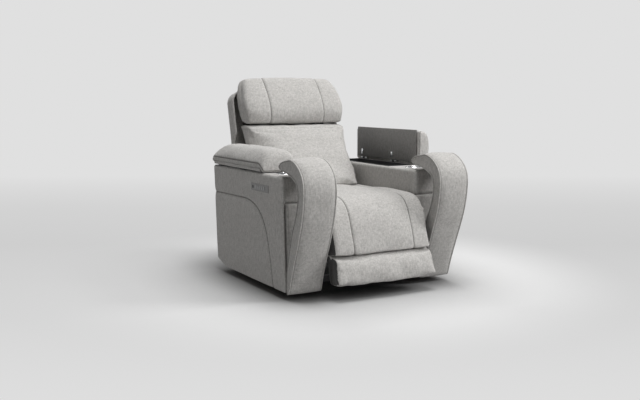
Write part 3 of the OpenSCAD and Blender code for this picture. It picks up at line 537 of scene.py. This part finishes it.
foot_line = closed_curve([
    (-574, 77, 0, 1), (-562, 140, 0, 1), (-548, 206, 0, 1), (-570, 211.5, 0.1, 1), (-612, 211.5, 0.5, 1),
    (-634, 208, 0.9, 1), (-650, 188, 1, 1.005), (-664, 150, 1, 1.012), (-675, 112, 1, 1.02),
    (-680, 90, 1, 1.025), (-672, 78, 0.8, 1.025), (-640, 76, 0.3, 1.02)], 4)
foot = across("footrest_pad", foot_line, 283, 13, 6, 16)
puff(foot, 0.006, 0.016, lambda v: ((v[:, 1] > -0.585) | (v[:, 2] < 0.079)).astype(float))
subdivide(foot)
wrinkle(foot, 0.10, 0.0015, 1.0, 5)
shade_sides(foot)
finish_piece(foot, "legrest", ["lower_leg_pad"])

# Back cushion

back_line = closed_curve([
    (-46, 486, 0, 0.78), (40, 484, 0, 0.93), (200, 484, 0, 1), (342, 490, 0, 1), (366, 570, 0, 1),
    (390, 670, 0, 1.02), (414, 768, 0.1, 1.05), (408, 800, 0.2, 1.08), (320, 806, 0.2, 1.10),
    (258, 800, 0.6, 1.10), (222, 772, 1, 1.08), (166, 708, 1, 1.03), (104, 638, 1, 1.0),
    (44, 568, 0.9, 0.97), (-18, 520, 0.5, 0.88), (-52, 496, 0.2, 0.79)], 5)
back = across("back_cushion_fabric", back_line, 281, 27, 9, 78)
puff(back, 0.007, 0.022, lambda v: (v[:, 2] > 0.79).astype(float))
subdivide(back)
wrinkle(back, 0.16, 0.002, 1.0, 9)
finish_piece(back, "back", ["back_cushion"])

# Headrest cushion

HEAD_SEAM, HEAD_LEAN = 0.171, 0.25
head_line = closed_curve([
    (268, 832, 0.8, 0.945), (276, 817, 0.5, 0.93), (294, 809, 0.2, 0.925), (345, 810, 0, 0.925),
    (392, 832, 0, 0.945), (412, 900, 0, 0.975), (428, 960, 0, 0.98), (443, 1026, 0.3, 0.955),
    (436, 1068, 0.6, 0.92), (404, 1082, 1, 0.90), (368, 1064, 1, 0.92), (330, 1020, 1, 0.955),
    (298, 972, 1, 0.975), (272, 920, 1, 0.975), (260, 872, 1, 0.96)], 5)
head = across("headrest_cushion_fabric", head_line, 328, 28, 10, 74)


def head_depth(v):
    """How far back each point is, measured from a plane that leans with the headrest."""
    return v[:, 1] - (v[:, 2] - 0.85) * HEAD_LEAN


def head_held(v):
    seam = bells(np.abs(v[:, 0]) - HEAD_SEAM, (1, SEAM_HOLD))
    return np.maximum(seam, (head_depth(v) > 0.40).astype(float))


puff(head, 0.006, 0.022, head_held)
subdivide(head)
v = coords(head.data)
front = step01((0.415 - head_depth(v)) / 0.02)
d = np.abs(np.abs(v[:, 0]) - HEAD_SEAM)
groove(head, d, 0.009, 0.008, front)
wrinkle(head, 0.13, 0.0012, front, 11)
set_seam(head, np.where(front > 0.5, d, 1))
finish_piece(head, "headrest", ["headrest_cushion"])

# Front bands, one on each arm

band_line = closed_curve([
    (-520, 39, 0.3, 1), (-498, 39, 0, 1), (-495.5, 108, 0.2, 1), (-506, 180, 0.6, 1), (-521, 245, 1, 1),
    (-550, 335, 1, 1), (-585, 412, 1, 1), (-605, 475, 1, 1), (-608, 525, 1, 1), (-596, 565, 1, 1),
    (-562, 587, 1, 1), (-505, 607, 0.9, 1), (-445, 617, 0.6, 1), (-421, 637, 0.4, 1), (-450, 660, 0.6, 1),
    (-500, 672, 0.9, 1), (-546, 677, 1, 1), (-602, 655, 1, 1), (-648, 611, 1, 1), (-667, 556, 1, 1),
    (-664, 480, 1, 1), (-646, 390, 1, 1), (-615, 300, 1, 1), (-578, 205, 1, 1), (-543, 110, 1, 1)], 6)
# middle and half width of a band; the cup in the arm lies on the same middle
BAND_X, BAND_HW = 386, 90.0
# the band's welted edge from the side wall to the face: place, draw and distance to a sewn line
BAND_EDGE = [
    (-3.4, 13, 30), (-3.2, 9.8, 2.4), (-3.0, 8.8, 2.2), (-1.6, 7.8, 3), (-0.2, 5.8, 4), (0, 3.6, 6),
    (-0.8, 1.4, 6), (-3.0, 0.2, 6), (-5.6, 0.6, 4), (-7.6, 2.0, 3), (-8.6, 3.0, 2.2), (-9.8, 2.2, 3),
    (-13, 0.9, 5)]
# seam distance of the plain face, and the least on the far edge, where the line is fainter
BAND_PLAIN, FAR_EDGE = 30.0, 4.3


def band_rings(shift):
    """Rings across the band: side wall, welt, seam and crowned face, then the same in reverse."""
    half = [(BAND_HW + x, d) for x, d, _ in BAND_EDGE]
    half += [(x, 14 * (x / BAND_HW) ** 4 - 6.0) for x in np.linspace(BAND_HW - 18, 0, 14)]
    rings = []
    for x, d in [(-x, d) for x, d in half] + [(x, d) for x, d in half[-2::-1]]:
        q = drawn_in(band_line, d)
        rings.append(np.stack([np.full(len(q), shift + x), q[:, 0], q[:, 1]], 1))
    return rings


for side, sx in SIDES:
    band = loft(side + "_band_fabric", band_rings(BAND_X * sx), flat=True)
    v = coords(band.data)
    face = step01((0.080 - np.abs(v[:, 0] - BAND_X * MM * sx)) / 0.02)
    wrinkle(band, 0.15, 0.0016, face * step01((v[:, 2] - 0.05) / 0.04), 41 + sx)
    count = len(band_line)
    edge = np.array([e[2] for e in BAND_EDGE], float)
    rows = np.full(len(v) // count, BAND_PLAIN)
    rows[:len(edge)] = edge
    rows[-len(edge):] = np.maximum(edge, FAR_EDGE)[::-1]
    set_seam(band, np.repeat(rows, count) * MM)
    finish_piece(band, "base", [side + "_front_band"])

# Arm upholstery, drawn for the sitter's left and mirrored

ARM_OUT, ARM_IN, ARM_TOP, ARM_FOOT = 480.0, 284.0, 590.0, 38.5
ARM_ROUND = 13.0
# the end walls: their y at the arm's top, and how far they slant over WALL_H
FRONT_Y, FRONT_SLANT, REAR_Y, REAR_SLANT, WALL_H = -467.0, 29.0, 383.0, 40.0, 552
# the compartment's sides and ends, and the cup's place and radius
TRAY_IN, TRAY_OUT, TRAY_FRONT, TRAY_REAR = 310, 454, -196, 340
CUP_X, CUP_Y, CUP_R = BAND_X, -325, 44
HEEL_RISE, HEEL_Y, HEEL_RUN = 42.0, 163, 192
REAR_SEAM = 444
# the lower front panel's top, and where the channel beside it runs
PANEL_TOP, CHANNEL_X = 462, 468
FAR = 1000
# (y, z) of the seam between the outer side's two panels
panel_line = open_curve([
    (400, 441), (335, 441), (200, 444), (60, 445), (-54, 445), (-137, 429), (-204, 396), (-255, 342),
    (-293, 269), (-319, 188), (-338, 110), (-356, 30)], 6)


def front_at(z):
    return FRONT_Y - FRONT_SLANT * (ARM_TOP - z) / WALL_H


def rear_at(z):
    return REAR_Y - REAR_SLANT * (ARM_TOP - z) / WALL_H


def heel(y):
    """Rise of the arm's lower edge towards its swept-up rear corner."""
    return HEEL_RISE * np.clip((y - HEEL_Y) / HEEL_RUN, 0, 1) ** 2


def arm_mesh(name):
    """The arm's five covered faces on one lattice, with the compartment and the cup left open in its top."""
    xs = np.unique(np.concatenate([np.linspace(ARM_IN, TRAY_IN, 7), np.linspace(TRAY_IN, TRAY_OUT, 33),
                                   np.linspace(TRAY_OUT, ARM_OUT, 8)]))
    us = np.linspace(0, 1, 190)
    zs = np.linspace(ARM_FOOT, ARM_TOP, 124)
    pts, faces, index = [], [], {}

    def at(p):
        k = (round(p[0], 2), round(p[1], 2), round(p[2], 2))
        if k not in index:
            index[k] = len(pts)
            pts.append(p)
        return index[k]

    def y_at(u, z):
        return front_at(z) + u * (rear_at(z) - front_at(z))

    def sheet(a, b, place, keep=None):
        for i in range(len(a) - 1):
            for j in range(len(b) - 1):
                steps = ((i, j), (i + 1, j), (i + 1, j + 1), (i, j + 1))
                c = [place(a[k], b[m]) for k, m in steps]
                if keep and not keep(sum(p[0] for p in c) / 4, sum(p[1] for p in c) / 4):
                    continue
                faces.append([at(p) for p in c])

    def on_top(x, y):
        tray = TRAY_IN < x < TRAY_OUT and TRAY_FRONT < y < TRAY_REAR
        return not tray and math.hypot(x - CUP_X, y - CUP_Y) > CUP_R

    sheet(us, zs, lambda u, z: (ARM_OUT, y_at(u, z), z))
    sheet(zs, us, lambda z, u: (ARM_IN, y_at(u, z), z))
    sheet(xs, zs, lambda x, z: (x, front_at(z), z))
    sheet(zs, xs, lambda z, x: (x, rear_at(z), z))
    sheet(xs, us, lambda x, u: (x, y_at(u, ARM_TOP), ARM_TOP), on_top)
    return mesh_object(name, pts, faces)


def arm_shape(ob, sx):
    """Rounds the arm's edges, pads its panels and draws its seams in."""
    me = ob.data
    v = coords(me) / MM
    v[:, 2] += heel(v[:, 1]) * (ARM_TOP - v[:, 2]) / (ARM_TOP - ARM_FOOT)
    x, y, z = v.T.copy()
    nf = np.array([0, -1, -FRONT_SLANT / WALL_H]) / math.hypot(1, FRONT_SLANT / WALL_H)
    nr = np.array([0, 1, REAR_SLANT / WALL_H]) / math.hypot(1, REAR_SLANT / WALL_H)
    # each wall's outward normal and the points' depth behind it: outer, inner, top, front, rear
    walls = [(np.array([1.0, 0, 0]), ARM_OUT - x), (np.array([-1.0, 0, 0]), x - ARM_IN),
             (np.array([0, 0, 1.0]), ARM_TOP - z), (nf, (y - front_at(z)) * abs(nf[1])),
             (nr, (rear_at(z) - y) * nr[1])]
    c = np.stack([np.clip(ARM_ROUND - d, 0, None) for _, d in walls], 1)
    length = np.linalg.norm(c, axis=1)
    k = np.where(length > 0, ARM_ROUND / np.maximum(length, 1e-9), 1)
    moved = c * k[:, None] - c
    for i, (n, _) in enumerate(walls):
        v += np.outer(moved[:, i], n)
    on_side, on_front, on_rear = (np.clip(c[:, i] / ARM_ROUND, 0, 1) ** 4 for i in (0, 3, 4))
    # outer side: two padded panels that meet at the curved seam
    d = near_line(np.stack([y, z], 1), panel_line)
    v[:, 0] -= on_side * bells(d, (5.0, 4.5), (3.2, 22))
    # pillowed rear corners at the seam
    v[:, 1] -= on_rear * bells(z - REAR_SEAM, (7, 7), (3, 26))
    # front: the lower panel stands proud, with a channel round it
    low = step01((PANEL_TOP - z) / 8) * step01((466 - x) / 8) * step01((x - 286) / 8)
    edge = np.where(z < PANEL_TOP, np.abs(x - CHANNEL_X), np.hypot(x - CHANNEL_X, z - PANEL_TOP))
    edge = np.minimum(edge, np.where(x < CHANNEL_X, np.abs(z - PANEL_TOP - 2), FAR))
    v[:, 1] -= on_front * (9 * low - bells(edge, (7.5, 6.0)))
    seam = np.where(on_side > 0.5, d, FAR)
    seam = np.minimum(seam, np.where(on_front > 0.5, edge, FAR))
    seam = np.minimum(seam, np.where(on_rear > 0.5, np.abs(z - REAR_SEAM), FAR))
    v[:, 0] *= sx
    set_coords(me, v * MM)
    if sx < 0:
        me.flip_normals()
    set_seam(ob, seam * MM)


for side, sx in SIDES:
    arm = arm_mesh(side + "_arm_fabric")
    arm_shape(arm, sx)
    wrinkle(arm, 0.22, 0.0008, 1.0, 15 + sx)
    finish_piece(arm, "base", [side + "_arm_cover", side + "_side_panel", side + "_front_panel"])

# Arm pads on their lids, drawn closed on the sitter's left

HINGE = np.array([470.0, 0, 600.3]) * MM
PAD_Y0, PAD_Y1, PAD_BASE, PAD_H = -262.0, 407.0, 607, 101
# the pad's front end reaches down past the lid board
NOSE_LEN, NOSE_BASE = 28, 594.5
# height of the closed right pad and of the open left one, as shares of the drawn one
PLUMP = {-1: 1.05, 1: 0.88}
# distance from the pad's end, height share and draw, from each end to the middle
PAD_FRONT = [(0, 0.50, 14), (3, 0.62, 8), (10, 0.76, 3), (24, 0.88, 1), (27, 0.89, 1), (28.5, 0.895, 0.5),
             (45, 0.95, 0), (75, 0.985, 0), (120, 1, 0), (190, 1, 0)]
PAD_REAR = [(0, 0.42, 14), (4, 0.52, 8), (14, 0.64, 3), (32, 0.76, 1), (60, 0.88, 0), (95, 0.95, 0),
            (140, 0.99, 0), (190, 1, 0)]
pad_line = closed_curve([
    (300, 607, 0, 0), (386, 607, 0, 0), (462, 607, 0, 0), (478, 607.5, 0, 0), (484, 613, 0.3, 0),
    (488, 626, 1, 0), (489.5, 637, 1, 0), (487, 645, 1, 0), (472, 670, 1, 0), (449, 692, 1, 0),
    (420, 704, 1, 0), (384, 708, 1, 0), (346, 706, 1, 0), (312, 693, 1, 0), (293, 669, 1, 0),
    (288, 644, 1, 0), (288, 624, 0.6, 0), (293, 611, 0, 0)], 4)


def pad_rings(plump):
    """Rings of the closed pad along Y, with a flat wall below and a dome above."""
    places = [(PAD_Y0 + e, h, d) for e, h, d in PAD_FRONT]
    places += [(PAD_Y1 - e, h, d) for e, h, d in PAD_REAR[::-1]]
    rings = []
    for y, h, d in places:
        q = drawn_in(pad_line, d)
        base = NOSE_BASE if y < PAD_Y0 + NOSE_LEN else PAD_BASE
        zz = base + (q[:, 1] - PAD_BASE) / PAD_H * (PAD_BASE + PAD_H * h * plump - base)
        rings.append(np.stack([q[:, 0], np.full(len(q), y), zz], 1))
    return rings


def place_on_lid(ob, sx):
    """Turns the closed left lid's piece to the open place, or mirrors it for the closed right lid."""
    v = coords(ob.data)
    if sx < 0:
        set_coords(ob.data, v * np.array([-1, 1, 1]))
        ob.data.flip_normals()
    else:
        d = v - HINGE
        set_coords(ob.data, np.stack([d[:, 2], d[:, 1], -d[:, 0]], 1) + HINGE)


def pad_seam(v):
    """Height in metres of the pad's seam over its wall, which sinks towards the two ends."""
    y = v[:, 1]
    ends = ((y - PAD_Y0 * MM, 0.07), (PAD_Y1 * MM - y, 0.05))
    front, rear = (1 - np.clip(1 - d / w, 0, 1) ** 2.4 for d, w in ends)
    return 0.596 + front * (0.0185 + 0.0225 * rear)


# (x, z) of the flap of cloth that hides the hinges from outside
FLAP = [(476.4, 596.8), (478.8, 596.8), (480.2, 603), (482.5, 612), (478, 612), (476.6, 604)]
for side, sx in SIDES:
    pad = loft(side + "_pad_fabric", pad_rings(PLUMP[sx]))
    puff(pad, 0.006, 0.018, lambda v: (v[:, 2] < 0.609).astype(float), inset=0.005)
    subdivide(pad)
    wrinkle(pad, 0.15, 0.0012, step01((coords(pad.data)[:, 2] - 0.61) / 0.02), 21 + sx)
    v = coords(pad.data)
    rim = np.abs(normals(pad.data)[:, 2]) < 0.93
    d = np.where(rim, np.abs(v[:, 2] - pad_seam(v)), 1.0)
    groove(pad, d, 0.0030, 0.0035)
    set_seam(pad, d)
    place_on_lid(pad, sx)
    finish_piece(pad, side + "_lid", [side + "_arm_pad"])
    flap = loft(side + "_pad_flap", [[(x, y, z) for x, z in FLAP] for y in np.linspace(-226, 366, 60)])
    place_on_lid(flap, sx)
    finish_piece(flap, side + "_lid", [])

# Fabric-covered boards of the lids

BOARD = ((285.5, 593.3), (463.5, 593.3), (463.5, 604.3), (285.5, 604.3))
BOARD_ENDS = (-232, 368)
BOX_FACES = [(0, 1, 2, 3), (7, 6, 5, 4), (0, 4, 5, 1), (1, 5, 6, 2), (2, 6, 7, 3), (3, 7, 4, 0)]
for side, sx in SIDES:
    corners = [(x, y, z) for y in BOARD_ENDS for x, z in BOARD]
    # the board's cloth is the half-bright copy, painted shade
    board = mesh_object(side + "_lid_board_fabric", corners, BOX_FACES, shaded_fabric)
    m = board.modifiers.new("round", "BEVEL")
    m.width, m.segments, m.limit_method = 0.003, 3, "NONE"
    apply(board)
    place_on_lid(board, sx)
    finish_piece(board, side + "_lid", [side + "_lid_board"])

# Small metal stops under the lids

STOP = [(422, 588.2), (446, 588.2), (450, 593.2), (420, 593.2), (418, 591)]
STOP_Y = (0, 312)
for side, sx in SIDES:
    for k, y in enumerate(STOP_Y):
        rings = [[(x, y + d, z) for x, z in STOP] for d in (-6, -5, 5, 6)]
        stop = loft(f"{side}_lid_stop_{k + 1}", rings, zinc_steel, flat=True)
        place_on_lid(stop, sx)
        finish_piece(stop, side + "_lid", [])

# Outer back, a softened copy of the CAD shell, a little wider and higher at its top

shell = bpy.data.objects.new("back_shell_fabric", frame["nodes"]["back_shell"].data.copy())
scene.collection.objects.link(shell)
shell.data.materials.clear()
shell.data.materials.append(fabric)
remesh(shell, 0.007)
smooth(shell.data, 10)
subdivide(shell)
v = coords(shell.data)
v[:, 0] *= 1.025
v[:, 2] += 0.008 * step01((v[:, 2] - 0.6) / 0.3)
set_coords(shell.data, v)
wrinkle(shell, 0.2, 0.001, 1.0, 31)
finish_piece(shell, "back", ["back_shell"])

# Floor, backdrop and light

FLOOR_SHOWN, FLOOR_BOUNCE = 0.70, 0.30
# reach and strength of the painted contact shadow, which ambient occlusion darkens into the floor's shown
# colour
SHADOW_REACH, SHADOW_POWER = 0.55, 1.1
# horizontal direction away from the camera, and the stretch along it over which the backdrop's tone changes
AWAY, AWAY_START, AWAY_END = (0.4924, 0.8704, 0), -2.0, 5.5
BACKDROP = [(0.0, grey(0.73)), (0.14, grey(0.67)), (0.38, grey(0.62)), (0.62, grey(0.65)), (1.0, grey(0.745))]
# distances from the chair's middle between which the lit floor turns into the backdrop
FADE_START, FADE_END = 0.75, 1.7
WORLD_LIGHT, WORLD_SHOWN = grey(0.12), grey(0.745)


def floor_material():
    """Pale floor that bounces less light than it shows, with a painted contact shadow near the chair; far from
    the chair it turns into the even backdrop.
    """
    n = Nodes(bpy.data.materials.new("floor"))
    shown = n.shown()
    # painted contact shadow: the shown floor turns near-black where ambient occlusion finds the chair close
    near = n.new("AmbientOcclusion", samples=16)
    near.inputs["Distance"].default_value = SHADOW_REACH
    contact_shadow = n.math("POWER", near.outputs["AO"], SHADOW_POWER)
    seen = n.mix(contact_shadow, grey(0.02), grey(FLOOR_SHOWN))
    n.put(n.bsdf.inputs["Base Color"], n.mix(shown, grey(FLOOR_BOUNCE), seen))
    n.set(Roughness=0.8, Specular_IOR_Level=0.1)
    away = n.ranged(n.vector("DOT_PRODUCT", n.coord, AWAY), AWAY_START, AWAY_END)
    glow = n.new("Emission")
    n.put(glow.inputs["Color"], n.ramp(away, BACKDROP))
    far = n.ranged(n.vector("LENGTH", n.coord), FADE_START, FADE_END, interpolation_type="SMOOTHSTEP")
    both = n.new("MixShader")
    n.put(both.inputs["Fac"], n.math("MULTIPLY", far, shown))
    n.put(both.inputs[1], n.bsdf.outputs["BSDF"])
    n.put(both.inputs[2], glow.outputs["Emission"])
    n.put(n.t.nodes["Material Output"].inputs["Surface"], both.outputs["Shader"])
    return n.owner


FLOOR = [(-40000, -12000, 0), (40000, -12000, 0), (40000, 60000, 0), (-40000, 60000, 0)]
floor = mesh_object("floor", FLOOR, [(0, 1, 2, 3)], floor_material())


def area(name, at, to, size, power):
    data = bpy.data.lights.new(name, "AREA")
    data.shape, data.size, data.energy = "DISK", size, power
    ob = bpy.data.objects.new(name, data)
    scene.collection.objects.link(ob)
    ob.location = at
    ob.rotation_euler = (Vector(to) - Vector(at)).to_track_quat("-Z", "Y").to_euler()


area("key", (6.4, -4.4, 5.2), (0, -0.1, 0.5), 3.2, 430)
area("front", (0.9, -6.6, 3.4), (0, 0, 0.5), 3.5, 145)
area("top", (0.2, -1.0, 7.5), (0, 0, 0.4), 3.5, 310)
area("fill", (-4.6, 0.8, 0.95), (0, 0, 0.4), 1.4, 22)
area("rim", (0.4, 4.6, 4.8), (0, 0.1, 0.7), 2.6, 80)

scene.world = bpy.data.worlds.new("studio")
n = Nodes(scene.world)
n.put(n.t.nodes["Background"].inputs["Color"], n.mix(n.shown(), WORLD_LIGHT, WORLD_SHOWN))
